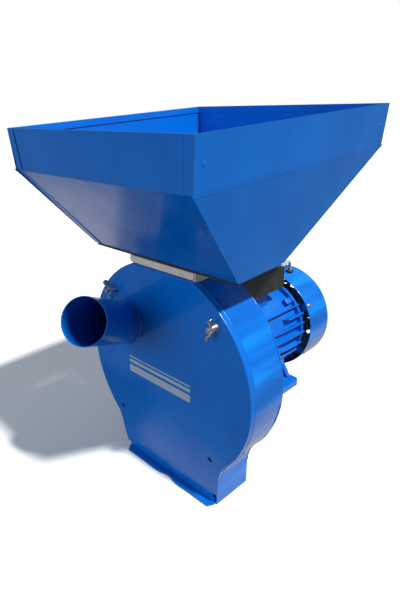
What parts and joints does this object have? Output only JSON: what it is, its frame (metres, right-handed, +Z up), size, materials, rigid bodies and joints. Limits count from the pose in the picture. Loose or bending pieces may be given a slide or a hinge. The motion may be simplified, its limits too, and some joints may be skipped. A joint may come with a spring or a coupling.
{
  "type": "hammer mill",
  "caption": "Blue sheet-metal hammer mill with a square hopper, a round chamber with a slanted inlet tube, and a flange-mounted motor.",
  "frame": {"origin": "in the bottom plane of the outlet chute, under the shaft, at mid chamber", "axes": "+Z up, +Y from the front cover towards the motor, +X to the right seen from the front"},
  "size_m": [0.38, 0.5262, 0.6122],
  "materials": {
    "blue_paint": "glossy saturated blue powder coat with slight orange peel",
    "blue_casting": "glossy blue paint over an aluminium casting",
    "galvanised_sheet": "dull galvanised sheet",
    "zinc_hardware": "bright zinc plate",
    "brass_screw": "yellow passivated screw heads",
    "bare_steel": "machined steel",
    "copper_winding": "varnished copper wire",
    "black_plastic": "fine textured black",
    "red_plastic": "smooth gloss",
    "fan_plastic": "moulded",
    "capacitor_case": "moulded",
    "rubber": "moulded",
    "grey_lead": "smooth sheathed lead"
  },
  "bodies": {
    "frame": {"base_front_flange": "blue_paint", "base_rear_flange": "blue_paint", "bearing_front": "bare_steel", "bearing_rear": "bare_steel", "box_screws": "zinc_hardware", "cable_gland": "black_plastic", "chamber_rear_plate": "blue_paint", "chamber_wrapper": "blue_paint", "control_box": "black_plastic", "control_box_lid": "black_plastic", "cover_studs": "zinc_hardware", "drive_end_shield": "blue_casting", "fan_cover": "blue_paint", "fan_cover_screws": "brass_screw", "fan_end_shield": "blue_casting", "gate_rails": "galvanised_sheet", "hopper_floor": "blue_paint", "hopper_front_panel": "blue_paint", "hopper_left_panel": "blue_paint", "hopper_rear_panel": "blue_paint", "hopper_right_panel": "blue_paint", "hopper_rivets": "blue_paint", "lead_grommet": "rubber", "motor_bolts": "bare_steel", "motor_foot_rails": "blue_casting", "motor_housing": "blue_casting", "motor_lead": "grey_lead", "run_capacitor": "capacitor_case", "screen": "bare_steel", "screen_rails": "bare_steel", "shaft_seal": "rubber", "start_capacitor": "capacitor_case", "stator_core": "bare_steel", "stator_windings": "copper_winding", "switch_body": "black_plastic", "throat_collar": "galvanised_sheet"},
    "rotor": {"motor_shaft": "bare_steel", "shaft_key": "bare_steel", "shaft_collar": "bare_steel", "shaft_washer": "bare_steel", "shaft_nut": "bare_steel", "rotor_core": "bare_steel", "cooling_fan": "fan_plastic", "rotor_hub": "bare_steel", "disc_front": "bare_steel", "disc_rear": "bare_steel", "disc_spacers": "bare_steel", "hammer_pins": "bare_steel", "pin_clips": "bare_steel"},
    "cover": {"front_cover": "blue_paint", "feed_tube": "blue_paint", "wing_washers": "zinc_hardware"},
    "gate": {"feed_gate": "galvanised_sheet"},
    "wing_left": {"wing_nut_left": "zinc_hardware"},
    "wing_right": {"wing_nut_right": "zinc_hardware"},
    "rocker": {"switch_rocker": "red_plastic"},
    "hammer_1": {"hammer_1": "bare_steel"},
    "hammer_2": {"hammer_2": "bare_steel"},
    "hammer_3": {"hammer_3": "bare_steel"},
    "hammer_4": {"hammer_4": "bare_steel"}
  },
  "joints": [
    {"name": "rotor_spin", "type": "hinge", "parent": "frame", "child": "rotor", "pos_m": [0, 0, 0.206], "axis": [0, 1, 0], "continuous": true},
    {"name": "cover_slide", "type": "slide", "parent": "frame", "child": "cover", "axis": [0, -1, 0], "range_m": [0, 0.06]},
    {"name": "gate_slide", "type": "slide", "parent": "frame", "child": "gate", "axis": [0, -1, 0], "range_m": [0, 0.05]},
    {"name": "wing_left_turn", "type": "hinge", "parent": "cover", "child": "wing_left", "pos_m": [-0.1155, -0.048, 0.323], "axis": [0, -1, 0], "continuous": true},
    {"name": "wing_right_turn", "type": "hinge", "parent": "cover", "child": "wing_right", "pos_m": [0.1155, -0.048, 0.323], "axis": [0, -1, 0], "continuous": true},
    {"name": "rocker_tip", "type": "hinge", "parent": "frame", "child": "rocker", "pos_m": [-0.0585, 0.12, 0.321], "axis": [0, 0, 1], "range_deg": [-8, 8]},
    {"name": "hammer_1_swing", "type": "hinge", "parent": "rotor", "child": "hammer_1", "pos_m": [0.08, 0, 0.206], "axis": [0, 1, 0], "range_deg": [-75, 75]},
    {"name": "hammer_2_swing", "type": "hinge", "parent": "rotor", "child": "hammer_2", "pos_m": [0, 0, 0.286], "axis": [0, 1, 0], "range_deg": [-75, 75]},
    {"name": "hammer_3_swing", "type": "hinge", "parent": "rotor", "child": "hammer_3", "pos_m": [-0.08, 0, 0.206], "axis": [0, 1, 0], "range_deg": [-75, 75]},
    {"name": "hammer_4_swing", "type": "hinge", "parent": "rotor", "child": "hammer_4", "pos_m": [0, 0, 0.126], "axis": [0, 1, 0], "range_deg": [-75, 75]}
  ]
}
